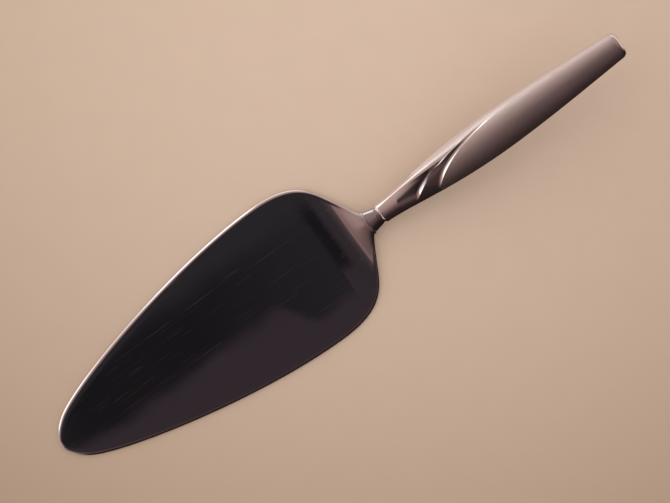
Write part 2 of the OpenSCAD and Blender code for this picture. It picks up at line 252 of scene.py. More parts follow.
# %% [markdown]
# The blade's surface
#
# Every section across the blade is an oval, squared off so much that the sheet is flat and only its edge
# is round. At the neck the same formula is an ellipse. Two meshes would show their joint in the polish,
# so one grid covers both. A grinder has left a fine chamfer along the rim, and a flat underside where the
# blade lies on the table.

# %% The blade's surface
SECTION_STEPS = 112
TIP_ROUND = 1.1 * MM
RIM_SLOPE = 0.9
RIM_EASE = 0.06 * MM
NECK_HALF_H = 2.8 * MM
ROOT_LEN = 7.5 * MM
RIDGE_POWER = 1.5


def blade_points():
    """Rings across the blade. With v the share of the half width and p the squareness, the half height is
    sheet * sqrt(1 - v^p) plus a ridge at the neck, and each ring stands square to the middle line. Beside
    the rim the sheet is no higher than a chamfer, which dies out where the neck begins."""
    along, half = outline[:, 0][:, None], outline[:, 1][:, None]
    before = BLADE_LEN - along
    turn = 2 * np.pi * np.arange(SECTION_STEPS)[None, :] / SECTION_STEPS
    power = np.maximum(2, 2 * half / SHEET_T)
    v = np.sign(np.cos(turn)) * np.abs(np.cos(turn)) ** (2 / power)
    reach = np.minimum(1, along / TIP_ROUND)
    root = smooth(1 - before / ROOT_LEN)
    sheet = SHEET_T / 2 * np.sqrt(1 - (1 - reach) ** 2) * np.abs(np.sin(turn))
    sheet = soft_min(sheet, RIM_SLOPE * half * (1 - np.abs(v)) + SHEET_T * root, RIM_EASE)
    ridge = (NECK_HALF_H - SHEET_T / 2) * root * np.maximum(0, 1 - v**2) ** (RIDGE_POWER - root)
    up = np.sign(np.sin(turn)) * (sheet + ridge)
    height, slope = neck_line(before)
    lean = np.arctan(slope)
    x = NECK_X - before - up * np.sin(lean)
    z = height + up * np.cos(lean)
    return np.stack([x, half * v, np.maximum(z, 0)], axis=-1)


blade_rings = blade_points()
print("blade:", blade_rings.shape[0], "rings of", blade_rings.shape[1], "points")

# %% [markdown]
# The tang
#
# The bar runs on into the handle as a flat tang, as wide as the collar's bore allows, then narrower.
# Nobody sees it while the server is whole, but it belongs to the same forging, so its rings carry on the
# blade's grid and aren't a mesh of their own.

# %% The tang
COLLAR_LEN = 7 * MM
SPIGOT_LEN = 3 * MM
TANG_LEN = 52 * MM
TANG_HALF = (2.1 * MM, 1.0 * MM)
TANG_END_HALF = 1.6 * MM
TANG_POINT_HALF = SHEET_T / 20
TANG_SQUARE = 40


def squared_oval(steps):
    """A ring that is almost a square of half size 1: |cos|^(2/p) across and |sin|^(2/p) up, signed."""
    turn = 2 * np.pi * np.arange(steps) / steps
    ring = np.stack([np.cos(turn), np.sin(turn)])
    return np.sign(ring) * np.abs(ring) ** (2 / TANG_SQUARE)


def tang_points():
    """Squared ovals at four places, of the tang's half width there and one half height."""
    u = np.array([0, COLLAR_LEN + SPIGOT_LEN, TANG_LEN - TANG_END_HALF, TANG_LEN])[:, None]
    half = np.array([TANG_HALF[0], TANG_HALF[0], TANG_END_HALF, TANG_POINT_HALF])[:, None]
    across, up = squared_oval(SECTION_STEPS)
    return in_handle(u, half * across, TANG_HALF[1] * up)


tang_rings = tang_points()
print("tang:", len(tang_rings), "rings")


# %% One skin for blade and tang
def build_blade():
    """The rings joined into one closed skin, with fans to a point at the tip and to the tang's end."""
    rings = np.concatenate([blade_rings, tang_rings])
    rows, columns = rings.shape[:2]
    tip = [blade_low[0], 0, neck_line(BLADE_LEN)[0]]
    back = rings[-1].mean(axis=0)
    points = np.vstack([rings.reshape(-1, 3), [tip], [back]])
    count = rows * columns
    faces = grid_faces(rows, columns, True)
    faces += fan_faces(np.arange(columns)[::-1], count)
    faces += fan_faces(np.arange(count - columns, count), count + 1)
    return make_piece("blade_skin", points, faces, sharp_above=50)


blade_skin = build_blade()

# %% [markdown]
# The collar
#
# A collar hides the joint between the neck and the handle. It is turned and then pressed oval: a small
# bead, a barrel that narrows, and a groove before the handle's mouth. Spinning a profile would make it
# round, so the profile keeps half the width and half the height at each place and is swept round an oval.

# %% The collar's profile
BEAD_R = 0.5 * MM
BEAD_PROUD = 0.2 * MM
COLLAR_END_HALF = (3.75 * MM, 2.75 * MM)
GROOVE_LEN = 1.6 * MM
GROOVE_D = 0.3 * MM
BEAD_STEPS, BARREL_STEPS, GROOVE_STEPS = 17, 12, 21


def collar_profile():
    """Distances along and half sizes across: half a circle for the bead, a taper, and half a sine."""
    bead = np.linspace(-np.pi / 2, np.pi / 2, BEAD_STEPS)[:, None]
    barrel = np.linspace(0, 1, BARREL_STEPS)[1:-1, None]
    groove = np.linspace(0, 1, GROOVE_STEPS)[:, None]
    start = np.array([NECK_HALF_W, NECK_HALF_H]) + BEAD_PROUD - BEAD_R
    end = np.array(COLLAR_END_HALF)
    groove_from = COLLAR_LEN - GROOVE_LEN
    along = [
        BEAD_R * (1 + np.sin(bead)),
        2 * BEAD_R + (groove_from - 2 * BEAD_R) * barrel,
        groove_from + GROOVE_LEN * groove,
    ]
    half = [
        start + BEAD_R * np.cos(bead),
        start + (end - start) * barrel,
        end - GROOVE_D * np.sin(np.pi * groove),
    ]
    return np.vstack(along)[:, 0], np.vstack(half)


collar_along, collar_half = collar_profile()
print("collar profile:", len(collar_along), "places, half sizes to", collar_half.max(axis=0).round(5))

# %% [markdown]
# The collar's spigot and bore
#
# A spigot behind the collar centres the handle's mouth, and a bore lets the tang through. A Boolean could
# cut the bore, but it leaves long thin triangles in the polish. The rings simply go on: out to the
# spigot's end, back through the bore, and the last ring joins the first.

# %% The collar
COLLAR_TURN = 128
MOUTH_HALF = (4.1 * MM, 2.95 * MM)
WALL_T = 0.6 * MM
FIT_GAP = 0.1 * MM


def build_collar():
    """Outside, an oval of the profile's half sizes. Inside, the tang's squared oval, larger by the gap."""
    spigot = np.array(MOUTH_HALF) - WALL_T - FIT_GAP
    end = COLLAR_LEN + SPIGOT_LEN
    along = np.concatenate([collar_along, [COLLAR_LEN, end]])[:, None]
    half = np.vstack([collar_half, spigot, spigot])
    turn = 2 * np.pi * np.arange(COLLAR_TURN)[None, :] / COLLAR_TURN
    outside = in_handle(along, half[:, :1] * np.cos(turn), half[:, 1:] * np.sin(turn))
    across, up = squared_oval(COLLAR_TURN) * (np.array(TANG_HALF) + FIT_GAP)[:, None]
    bore = in_handle(np.array([[end], [0]]), across[None, :], up[None, :])
    rings = np.concatenate([outside, bore])
    last = (len(rings) - 1) * COLLAR_TURN
    here = np.arange(COLLAR_TURN)
    after = np.roll(here, -1)
    faces = grid_faces(len(rings), COLLAR_TURN, True)
    faces += np.stack([last + here, last + after, after, here], axis=-1).tolist()
    return make_piece("collar_skin", rings.reshape(-1, 3), faces, sharp_above=40)


collar_skin = build_collar()

# %% [markdown]
# The handle's side curves
#
# The handle is two stampings soldered edge to edge, each half an oval that swells and tapers. Scaling one
# section along it would need many rings set by hand. Two Bezier curves that meet level at the swell give
# the half width and the half height at every place instead.

# %% The handle's side curves
HANDLE_LEN = 119 * MM
HANDLE_HALF = (8.2 * MM, 5.8 * MM)
BUTT_HALF = (5.2 * MM, 3.7 * MM)
SWELL_AT = 61 * MM
FRONT_PULLS = (0.18, 0.555)
BACK_PULL = 0.3
BUTT_FULLNESS = 0.4
SIDE_POINTS = 3000


def side_curve(mouth, swell, butt):
    """Half size against the distance along the handle: two Bezier curves that meet at the swell. The pulls
    are shares of the swell's distance in front of it, and of the length behind it."""
    t = np.linspace(0, 1, SIDE_POINTS)
    pull = (HANDLE_LEN - SWELL_AT) * BACK_PULL
    front_curve = bezier(
        (COLLAR_LEN, mouth),
        (COLLAR_LEN + SWELL_AT * FRONT_PULLS[0], mouth),
        (SWELL_AT * FRONT_PULLS[1], swell),
        (SWELL_AT, swell),
        t,
    )
    back_curve = bezier(
        (SWELL_AT, swell),
        (SWELL_AT + pull, swell),
        (HANDLE_LEN - pull, butt + (swell - butt) * BUTT_FULLNESS),
        (HANDLE_LEN, butt),
        t[1:],
    )
    return np.vstack([front_curve, back_curve]).T


WIDTH_CURVE, HEIGHT_CURVE = (side_curve(MOUTH_HALF[i], HANDLE_HALF[i], BUTT_HALF[i]) for i in (0, 1))
print("half width 30 mm along:", round(np.interp(30 * MM, *WIDTH_CURVE), 5))

# %% [markdown]
# The crests
#
# Sharp crests sweep back over the front of the handle. A sculpted crest would waver, and polish shows
# that at once. Here a crest is a line with a formula: at one side it starts square to the handle, and the
# further it climbs over the top, the faster it runs back.

# %% The crests
CREST_2 = 20.6 * MM
CREST_3 = 30.8 * MM
SWEEP = 26.2 * MM
SWEEP_STOP = 140


def swept(turn):
    """How far back a crest has swept at a turn in degrees: t^2 / (180^2 - t^2)."""
    t = np.minimum(turn, SWEEP_STOP)
    return t**2 / (180.0**2 - t**2)


print("second crest:", CREST_2, "at the side and", round(CREST_2 + SWEEP * swept(90), 4), "on top")

# %% [markdown]
# The hollows
#
# Between two crests the metal falls away slowly and rises fast, like a wave about to break, which gives
# each crest a bright face and a dark trough. High on the handle the wave would grow too soft, so a
# shallow straight lip keeps the second crest crisp.

# %% The hollows
FALL_LEN = 16 * MM
LIP_D = 0.27 * MM
LIP_LEN = 2.2 * MM
LIP_FADE = 0.45


def hollow(start, end, u, rise_len):
    """Between two crests: a ramp that falls to one, times a rounded rise r(2 - r) to the next crest."""
    fall = np.clip((u - start) / FALL_LEN, 0, 1)
    rise = np.clip((end - u) / rise_len, 0, 1)
    return fall * rise * (2 - rise)


def lip(start, end, u, turn):
    """A straight ramp up to the second crest, times a smooth step of sin(turn), dying at the sides."""
    fall = np.clip((u - start) / FALL_LEN, 0, 1)
    return LIP_D * fall * np.clip((end - u) / LIP_LEN, 0, 1) * smooth(np.sin(np.radians(turn)) / LIP_FADE)


crossing = hollow(0, 10 * MM, np.linspace(0, 10 * MM), 4 * MM)
print("a hollow 10 mm long reaches", round(crossing.max(), 2), "of the full depth")

# %% [markdown]
# The flutes as one relief
#
# The front hollow is a leaf: it starts at a point behind the mouth, and a long crest bounds it on one
# side. A displacement image would blur the crests, so the depth is a formula too. On the outer skin the
# rise to a crest is shorter low on the side and longer over the top, as a polisher's wheel leaves it. The
# inner skin keeps the stamping's even form.

# %% The flutes' relief
FLUTE_D = 1.7 * MM
FLUTE_END = 63 * MM
FLUTE_FADE = FLUTE_END * 0.24
EDGE_POWER = 3
RISE_LEN = 3.8 * MM
RISE_FULL_AT = 86
RISE_LEAST, RISE_MOST = 0.42, 1.6
LEAF_TIP = 14.6 * MM
LEAF_TURN = 69
LEAF_BACK = 4 * MM
LEAF_BACK_HIGH = LEAF_BACK * 0.85
LEAF_POWER, LEAF_POWER_HIGH = 1.3, 2
LEAF_SIDE = 4.3 * MM
LEAF_SIDE_W = 1.5 * MM


def leaf_start(turn):
    """Where the leaf begins: nearest the mouth at one turn, and further back by a power to either side."""
    low = LEAF_TIP + LEAF_BACK * np.maximum(0, (LEAF_TURN - turn) / LEAF_TURN) ** LEAF_POWER
    high = np.maximum(0, (turn - LEAF_TURN) / (SWEEP_STOP - LEAF_TURN)) ** LEAF_POWER_HIGH
    return low + LEAF_BACK_HIGH * high


def relief(u, turn, aside, outside=True):
    """Zero on the crests and the grip, and negative in the hollows: the depth times the hollow's share
    times sin(turn)^3, faded out along the grip. aside is the distance from the handle's middle, where a
    smooth step bounds the leaf."""
    rise_len = RISE_LEN * (np.clip((turn / RISE_FULL_AT) ** 2, RISE_LEAST, RISE_MOST) if outside else 1)
    second = CREST_2 + SWEEP * swept(turn)
    third = second + CREST_3 - CREST_2
    leaf = leaf_start(turn)
    front = hollow(leaf, second, u, rise_len) * smooth((LEAF_SIDE - aside) / LEAF_SIDE_W)
    depth = np.where(u < second, front, hollow(second, third, u, rise_len))
    cut = FLUTE_D * depth * np.sin(np.radians(turn)) ** EDGE_POWER
    if outside:
        cut = np.maximum(cut, lip(leaf, second, u, turn))
    return -cut * (1 - smooth((u - FLUTE_END + FLUTE_FADE) / FLUTE_FADE))


print("relief 35 mm along, on top:", round(relief(35 * MM, 90, 0).item(), 5))

# %% [markdown]
# The handle's skin
#
# The skin is an ellipse of the side curves' sizes, moved in along its own normal by the relief, as a die
# presses a sheet. The mouth's rim and the butt's edge are rounded by drawing the ellipse in along a
# quarter circle. A Bevel modifier could round them too, but in the formula the handle keeps its exact
# length.

# %% The handle's skin
MOUTH_R = 0.3 * MM
BUTT_R = 2.4 * MM


def drawn_in(u, depth):
    """How far the side draws in: r (1 - sqrt(1 - t^2)), with one r at the rim and one at the butt."""
    rim = np.clip(1 - (u - COLLAR_LEN) / MOUTH_R, 0, 1) if depth == 0 else 0 * u
    radius = BUTT_R - depth
    corner = np.clip((u - HANDLE_LEN + BUTT_R) / radius, 0, 1)
    return MOUTH_R * (1 - np.sqrt(1 - rim**2)) + radius * (1 - np.sqrt(1 - corner**2))


def skin_points(u, turn, depth):
    """An ellipse with the side curves' half sizes a and b, less the depth: y = -a cos(turn) and
    z = b sin(turn), moved along its normal by the relief."""
    inward = drawn_in(u, depth)
    a = np.interp(u, *WIDTH_CURVE) - inward
    b = np.interp(u, *HEIGHT_CURVE) - inward
    angle = np.radians(turn)
    out = np.stack([b * np.cos(angle), a * np.sin(angle)])
    out = out / np.linalg.norm(out, axis=0)
    lift = relief(u, turn, -a * np.cos(angle), outside=depth == 0)
    y = -(a - depth) * np.cos(angle) - lift * out[0]
    z = (b - depth) * np.sin(angle) + lift * out[1]
    return y, z


print("drawn in at the butt's end:", round(drawn_in(HANDLE_LEN, 0), 5))

# %% [markdown]
# Mesh lines that follow the crests
#
# If the mesh ran straight across the handle, each crest would cut through its squares and look like a
# staircase in the polish, and more squares only make smaller stairs. So the mesh lines lean back with the
# crests, and each crest is a line of the mesh.

# %% Stations along the handle
BUTT_FROM = HANDLE_LEN - BUTT_R
RIM_TO = COLLAR_LEN + MOUTH_R
LEAN_TO = HANDLE_LEN * 0.94
# Stretches between two places, each with its number of points.
STRETCHES = (
    (COLLAR_LEN, RIM_TO, 7),
    (RIM_TO, CREST_2, 70),
    (CREST_2, CREST_3, 61),
    (CREST_3, SWELL_AT, 71),
    (SWELL_AT, BUTT_FROM, 60),
)
BUTT_STEPS = 15


def handle_stations():
    """Even steps on each stretch, and steps by a sine at the butt, which crowds them at its edge."""
    even = [np.linspace(start, end, points)[:-1] for start, end, points in STRETCHES]
    return np.concatenate([*even, BUTT_FROM + BUTT_R * np.sin(np.linspace(0, np.pi / 2, BUTT_STEPS))])


def leaned(s, turn):
    """Stations leaned back with the crests: s + sweep * share * swept(turn). The share grows from 0 at the
    rim to 1 at the second crest, and dies out along the grip."""
    grow = smooth((s - RIM_TO) / (CREST_2 - RIM_TO))
    die = 1 - smooth((s - CREST_3) / (LEAN_TO - CREST_3))
    return s + SWEEP * np.where(s < CREST_2, grow, die) * swept(turn)


stations = handle_stations()[:, None]
print("stations:", len(stations), "from", round(stations[0, 0], 4), "to", round(stations[-1, 0], 4))

# %% [markdown]
# The wall
#
# A stamping has an even wall, an open mouth and a closed butt. A Solidify modifier would give it a wall,
# but the inner side can fold under sharp crests. The inner skin is worked out by itself: the same ellipse
# set in by the wall, with its own rounding at the butt.

# %% Outer and inner skin
SHELL_TURN = 110
turns = np.linspace(0, 180, SHELL_TURN + 1)[None, :]
outer_u = leaned(stations, turns)
inner_u = np.minimum(outer_u, BUTT_FROM) + np.maximum(0, outer_u - BUTT_FROM) * (BUTT_R - WALL_T) / BUTT_R
outer_y, outer_z = skin_points(outer_u, turns, 0)
inner_y, inner_z = skin_points(inner_u, turns, WALL_T)
wall_on_grip = (outer_z - inner_z)[-2 * BUTT_STEPS, SHELL_TURN // 2]
print("half shell:", outer_u.shape, "points, wall on the grip", round(wall_on_grip, 5))


# %% Faces of a half shell
def shell_faces():
    """Squares of both skins, a strip between their rims all the way round, and a face on each butt."""
    rows, columns = outer_u.shape
    count = rows * columns
    last = count - columns
    rim = np.concatenate(
        [np.arange(columns), columns * np.arange(2, rows + 1) - 1, columns * np.arange(rows - 1, 0, -1)]
    )
    after = np.roll(rim, -1)
    faces = [face[::-1] for face in grid_faces(rows, columns, False)]
    faces += grid_faces(rows, columns, False, count)
    faces += np.stack([rim, after, after + count, rim + count], axis=-1).tolist()
    faces.append((last + np.arange(columns)[::-1]).tolist())
    faces.append((count + last + np.arange(columns)).tolist())
    return faces


print("faces of a half shell:", len(shell_faces()))

# %% [markdown]
# What the points remember
#
# The grip is satin and the flutes are polished, and the finish changes exactly on a crest. A painted mask
# would miss that line, but the grid knows it, so each point stores how satin it is, how deep in a hollow,
# how far along and how far round. The wheel also brushed the flank beside the second crest, and hands
# have rubbed the butt smoother.

# %% Numbers for the finish
CREST_EDGE = 0.25 * MM
BUTT_RUB = 0.8
FLANK_FROM = 23 * MM
FLANK_LEN = 4 * MM
FLANK_SATIN = 0.9
FLANK_TURN = 128
FLANK_FADE = 12


def satin_share():
    """1 behind the third crest, less on the rubbed butt. On the flank it is a product of smooth steps by
    the distance aside and along, which leaves out the lip but for the last turns."""
    rubbed = smooth((outer_u - BUTT_FROM) / (BUTT_R / 2))
    grip = smooth((stations - CREST_3) / CREST_EDGE) * (1 - BUTT_RUB * rubbed)
    flank = smooth((outer_y - LEAF_SIDE) / LEAF_SIDE_W) * smooth((outer_u - FLANK_FROM) / FLANK_LEN)
    before_lip = smooth((CREST_2 - LIP_LEN - stations) / CREST_EDGE)
    flank = flank * np.maximum(before_lip, smooth((turns - FLANK_TURN) / FLANK_FADE))
    return np.maximum(grip, FLANK_SATIN * flank)


def both_skins(outside, inside):
    """One number for each point: those of the outer skin, then those of the inner skin."""
    return np.concatenate([np.broadcast_to(part, outer_u.shape).ravel() for part in (outside, inside)])


shell_values = {
    "satin": both_skins(satin_share(), 0),
    "hollow": both_skins(-relief(outer_u, turns, outer_y) / FLUTE_D, 0),
    "along": both_skins(outer_u, inner_u) / MM,
    "around": both_skins(turns, turns) / 180,
}
print("stored:", {key: round(float(numbers.max()), 3) for key, numbers in shell_values.items()})

# %% [markdown]
# Two stampings
#
# Both halves of the handle come from one die. The second is the first turned half a turn round the
# handle's axis, so Y and Z both change sign. A mirror would change only one of them and turn the faces
# inside out.

# %% The half shells
SOLDER_T = 0.1 * MM


def half_shell(name, side):
    """Both skins in the world, half the solder away from the joint, for side 1 above or -1 below."""
    skins = ((outer_u, outer_y, outer_z), (inner_u, inner_y, inner_z))
    points = [in_handle(u, side * y, side * (z + SOLDER_T / 2)).reshape(-1, 3) for u, y, z in skins]
    return make_piece(name, np.concatenate(points), shell_faces(), sharp_above=50, values=shell_values)


upper_skin = half_shell("handle_upper_skin", 1)
lower_skin = half_shell("handle_lower_skin", -1)

# %% [markdown]
# Node helpers
#
# Materials and the room are node trees. A few short helpers add nodes, wire sums and blend colours, so
# that each tree reads as a list of steps. The nodes are laid out in rows, in the order in which they are
# made.

# %% Nodes
NODES_A_ROW = 8
NODE_STEP = (240, -320)


def feed(tree, socket, value):
    """Gives an input a number or colour, or links it to another node's output."""
    if isinstance(value, bpy.types.NodeSocket):
        tree.links.new(value, socket)
    else:
        socket.default_value = value


def add(tree, kind, inputs=None, **settings):
    """One node of a tree, with its settings, and with its inputs fed by name or number."""
    row, column = divmod(len(tree.nodes), NODES_A_ROW)
    node = tree.nodes.new(kind)
    node.location = (column * NODE_STEP[0], row * NODE_STEP[1])
    for key, value in settings.items():
        setattr(node, key, value)
    for key, value in (inputs or {}).items():
        feed(tree, node.inputs[key], value)
    return node


def new_material(name, kind, constants=None):
    """A material with one shader. Gives the material, its node tree and the shader."""
    material = bpy.data.materials.new(name)
    material.use_nodes = True
    tree = material.node_tree
    tree.nodes.clear()
    shader = add(tree, kind, constants)
    add(tree, "ShaderNodeOutputMaterial", {"Surface": shader.outputs[0]})
    print("material:", name)
    return material, tree, shader


print("node helpers:", [helper.__name__ for helper in (feed, add, new_material)])


# %% Sums, blends and noise
# A Mix node's inputs for its factor and its two colours, and its output for the colour between them.
MIX_INPUTS = (0, 6, 7)
MIX_OUTPUT = 2


def calc(tree, operation, *values):
    """A Math node fed with numbers or outputs."""
    return add(tree, "ShaderNodeMath", dict(enumerate(values)), operation=operation).outputs[0]


def vector_calc(tree, operation, *values):
    """A Vector Math node fed with vectors or outputs. Gives its outputs, a vector and a number."""
    return add(tree, "ShaderNodeVectorMath", dict(enumerate(values)), operation=operation).outputs


def ease(tree, value, low, high):
    """0 below low and 1 above high, with a smooth step between. low may be the greater."""
    inputs = {"Value": value, "From Min": low, "From Max": high}
    return add(tree, "ShaderNodeMapRange", inputs, interpolation_type="SMOOTHSTEP").outputs[0]


def blend(tree, factor, first, second):
    """A colour between two others: first where the factor is 0 and second where it is 1."""
    inputs = dict(zip(MIX_INPUTS, (factor, first, second)))
    return add(tree, "ShaderNodeMix", inputs, data_type="RGBA").outputs[MIX_OUTPUT]


def noise(tree, place, **inputs):
    """Noise at a place, with its scale, detail and roughness by name."""
    return add(tree, "ShaderNodeTexNoise", {"Vector": place, **inputs}).outputs[0]


print("sums, blends and noise:", [helper.__name__ for helper in (calc, vector_calc, ease, blend, noise)])

# %% [markdown]
# The table
#
# The table is pale buff card, which takes the light evenly and shows the server's soft shadow. One plane
# is enough, with noise for the faint mottling of card. A pool of light is painted into its colour,
# lightest at one place and darker further away. It is hidden from glossy rays, because the room below
# draws the table as a mirror shows it.

# %% Table
TABLE_REACH = 3.0
TABLE_DROP = 0.1 * MM
CARD = (0.725, 0.535, 0.412, 1)
# The far tone is painted shade. Away from a painted pool of light the card darkens towards it, and the
# pool's centre, spread and falloff follow. The mottle also blends towards this tone.
CARD_PAINTED_SHADE_AND_MOTTLE = (0.40, 0.275, 0.19, 1)
PAINTED_LIGHT_CENTRE = (0.08, 0.08, 0)
PAINTED_LIGHT_SPREAD = 0.28
PAINTED_LIGHT_FALL = 1.8
MOTTLE = {"Scale": 90.0, "Detail": 5.0}
MOTTLE_SHARE = 0.12


def card_tone_with_painted_light(tree):
    """Card with a painted pool of light, which darkens by a power of the distance from its lightest place,
    then is mottled a little.
    """
    place = add(tree, "ShaderNodeTexCoord").outputs["Object"]
    # Painted light: the tone falls off with the distance from the painted pool's centre.
    away = vector_calc(tree, "DISTANCE", place, PAINTED_LIGHT_CENTRE)["Value"]
    far = calc(tree, "POWER", calc(tree, "DIVIDE", away, PAINTED_LIGHT_SPREAD), PAINTED_LIGHT_FALL)
    tone = blend(tree, calc(tree, "MINIMUM", far, 1.0), CARD, CARD_PAINTED_SHADE_AND_MOTTLE)
    mottle = calc(tree, "MULTIPLY", noise(tree, place, **MOTTLE), MOTTLE_SHARE)
    return blend(tree, mottle, tone, CARD_PAINTED_SHADE_AND_MOTTLE)


def make_table():
    """A large plane just under everything, hidden from glossy rays."""
    reach = TABLE_REACH * np.array([[-1, -1], [1, -1], [1, 1], [-1, 1]])
    corners = np.column_stack([reach, np.full(4, -TABLE_DROP)])
    mesh = bpy.data.meshes.new("table")
    mesh.from_pydata(corners.tolist(), [], [[0, 1, 2, 3]])
    table = bpy.data.objects.new("table", mesh)
    bpy.context.scene.collection.objects.link(table)
    material, tree, matt = new_material("table_card", "ShaderNodeBsdfDiffuse")
    feed(tree, matt.inputs["Color"], card_tone_with_painted_light(tree))
    mesh.materials.append(material)
    table.visible_glossy = False
    return table


table = make_table()
print("stage:", table.name, "reaching", TABLE_REACH, "m each way")

# %% [markdown]
# The light
#
# One broad lamp stands beyond the handle's left side, halfway up, and the fill from the room does the
# rest. A sun or a spot would throw a hard shadow, which the photograph doesn't have. The lamp is kept out
# of mirrors, because the room below has a window in the same place, drawn the way polished metal shows
# one.

# %% Window lamp
LAMP_AT = (-0.15, 0.70, 0.72)
LAMP_SIZE = (1.4, 1.2)
LAMP_POWER = 3.4


def make_lamp():
    """A broad area lamp aimed at the middle of the server."""
    data = bpy.data.lights.new("window", "AREA")
    data.shape = "RECTANGLE"
    data.size, data.size_y = LAMP_SIZE
    data.energy = LAMP_POWER
    lamp = bpy.data.objects.new("window", data)
    lamp.location = LAMP_AT
    lamp.rotation_mode = "QUATERNION"
    lamp.rotation_quaternion = (-lamp.location).to_track_quat("-Z", "Y")
    lamp.visible_glossy = False
    bpy.context.scene.collection.objects.link(lamp)
    return lamp


lamp = make_lamp()
print("lamp:", lamp.name, LAMP_POWER, "W at", [round(x, 2) for x in lamp.location])

# %% [markdown]
# The room in the mirror
#
# Polished steel is as bright as what it faces. A picture of a real room would do, but this one is drawn
# from a few tones: a colour for each direction x, y, z of a reflection, where x points to the handle's end
# and y to the window's side. Straight up is a dark ceiling, which makes the blade nearly black. It is
# greyer toward the handle, and past a soft edge on the dim side it turns purplish.

# %% Ceiling
CEILING_NEAR = (0.0115, 0.0104, 0.0116, 1)
CEILING_FAR = (0.0215, 0.0196, 0.0227, 1)
CEILING_SIDE = (0.0277, 0.0246, 0.0277, 1)
CEILING_EDGE = (0.041, 0.0297, 0.0345, 1)
CEILING_BACK = (0.036, 0.029, 0.032, 1)
# From where a tone starts to where it is complete, by x or y.
FAR_BY_X = (-0.10, 0.03)
SIDE_BY_Y = (-0.024, -0.004)
EDGE_BY_Y = (-0.058, -0.069)
BACK_BY_X = (-0.17, -0.26)
EDGE_BEND = 0.021
EDGE_BENDS_BY_X = (-0.04, -0.015)


def ceiling(tree, x, y):
    """Five tones, each laid over the last by an ease of x or y. The dim side's edge bends with x."""
    tone = blend(tree, ease(tree, x, *FAR_BY_X), CEILING_NEAR, CEILING_FAR)
    tone = blend(tree, ease(tree, y, *SIDE_BY_Y), tone, CEILING_SIDE)
    bend = calc(tree, "MULTIPLY", ease(tree, x, *EDGE_BENDS_BY_X), EDGE_BEND)
    tone = blend(tree, ease(tree, calc(tree, "ADD", y, bend), *EDGE_BY_Y), tone, CEILING_EDGE)
    return blend(tree, ease(tree, x, *BACK_BY_X), tone, CEILING_BACK)


print("ceiling: from", CEILING_NEAR[:3], "to", CEILING_EDGE[:3])

# %% [markdown]
# The walls
#
# The walls grow lighter and pinker from the dim side to the window's side, so a colour ramp holds their
# tones. At the blade's end of the room they are lighter still, but for a dim corner.

# %% Walls
# Tones from the dim side to the window's side, by y.
WALLS = (
    (-0.9, (0.024, 0.0145, 0.0155, 1)),
    (-0.7, (0.034, 0.020, 0.021, 1)),
    (-0.55, (0.068, 0.040, 0.042, 1)),
    (-0.4, (0.110, 0.064, 0.065, 1)),
    (-0.2, (0.180, 0.110, 0.105, 1)),
    (0.0, (0.27, 0.172, 0.156, 1)),
    (0.4, (0.38, 0.255, 0.23, 1)),
    (0.8, (0.46, 0.335, 0.31, 1)),
    (1.0, (0.52, 0.39, 0.365, 1)),
)
END_LIFT = 0.4
END_BY_X = (-0.35, -0.85)
CORNER_DIMS = -0.35
CORNER_BY_X = (-0.4, -0.6)
CORNER_BY_Y = (0.02, -0.1)


def wall_tones(tree, y):
    """A colour ramp of the walls' tones. It runs from 0 to 1, and y from -1 to 1."""
    node = add(tree, "ShaderNodeValToRGB", {0: calc(tree, "MULTIPLY_ADD", y, 0.5, 0.5)})
    marks = node.color_ramp.elements
    while len(marks) < len(WALLS):
        marks.new(0.5)
    for mark, (place, colour) in zip(marks, WALLS):
        mark.position = (place + 1) / 2
        mark.color = colour
    return node.outputs[0]


def walls(tree, x, y):
    """The ramp's tone at y, times 1 + a lift at the blade's end, times 1 - a dimming in the corner."""
    lift = calc(tree, "MULTIPLY_ADD", ease(tree, x, *END_BY_X), END_LIFT, 1.0)
    corner = calc(tree, "MULTIPLY", ease(tree, x, *CORNER_BY_X), ease(tree, y, *CORNER_BY_Y))
    lift = calc(tree, "MULTIPLY", lift, calc(tree, "MULTIPLY_ADD", corner, CORNER_DIMS, 1.0))
    inputs = {"Vector": wall_tones(tree, y), "Scale": lift}
    return add(tree, "ShaderNodeVectorMath", inputs, operation="SCALE").outputs[0]


print("walls:", len(WALLS), "tones")

# %% [markdown]
# The windows
#
# The white lines along the crests and the collar are reflections of windows. Lamps that mirrors show
# would do it too, but a mask in the room has edges as soft as wanted. One window is on the light side.
# The other is toward the blade's end and reaches below the horizon, because the table mirrors it.

# %% Windows
WINDOW_COLOUR = (1.55, 1.45, 1.41, 1)
# Two limits and the softness of both.
SIDE_WINDOW_X = (-0.34, 0.06, 0.1)
SIDE_WINDOW_Z = (-0.06, 0.45, 0.08)
SIDE_WINDOW_BY_Y = (0.0, 0.3)
END_WINDOW_Z = (-0.8, 0.72, 0.14)
END_WINDOW_BY_X = (-0.36, -0.46)
END_WINDOW_SLANT = 0.4
END_WINDOW_BY_Y = (0.4, 0.6)


def band(tree, value, low, high, soft):
    """1 between two numbers and 0 outside them, with soft sides."""
    rise = ease(tree, value, low, low + soft)
    return calc(tree, "MULTIPLY", rise, ease(tree, value, high, high - soft))


def windows(tree, x, y, z):
    """The greater of two masks, each a product of bands and eases. The end window's edge slants with z."""
    side = calc(tree, "MULTIPLY", band(tree, x, *SIDE_WINDOW_X), band(tree, z, *SIDE_WINDOW_Z))
    side = calc(tree, "MULTIPLY", side, ease(tree, y, *SIDE_WINDOW_BY_Y))
    slanted = calc(tree, "MULTIPLY_ADD", z, END_WINDOW_SLANT, x)
    end = calc(tree, "MULTIPLY", ease(tree, slanted, *END_WINDOW_BY_X), band(tree, z, *END_WINDOW_Z))
    end = calc(tree, "MULTIPLY", end, ease(tree, y, *END_WINDOW_BY_Y))
    return calc(tree, "MAXIMUM", side, end)


print("windows: heights", SIDE_WINDOW_Z[:2], END_WINDOW_Z[:2])

# %% [markdown]
# The table in the mirror
#
# Below the horizon a mirror shows the table: bright on the sides that the windows light and dark
# elsewhere, with a pale glow over the horizon on the lit sides. The plane itself is evenly lit all round,
# so its reflection is drawn instead.

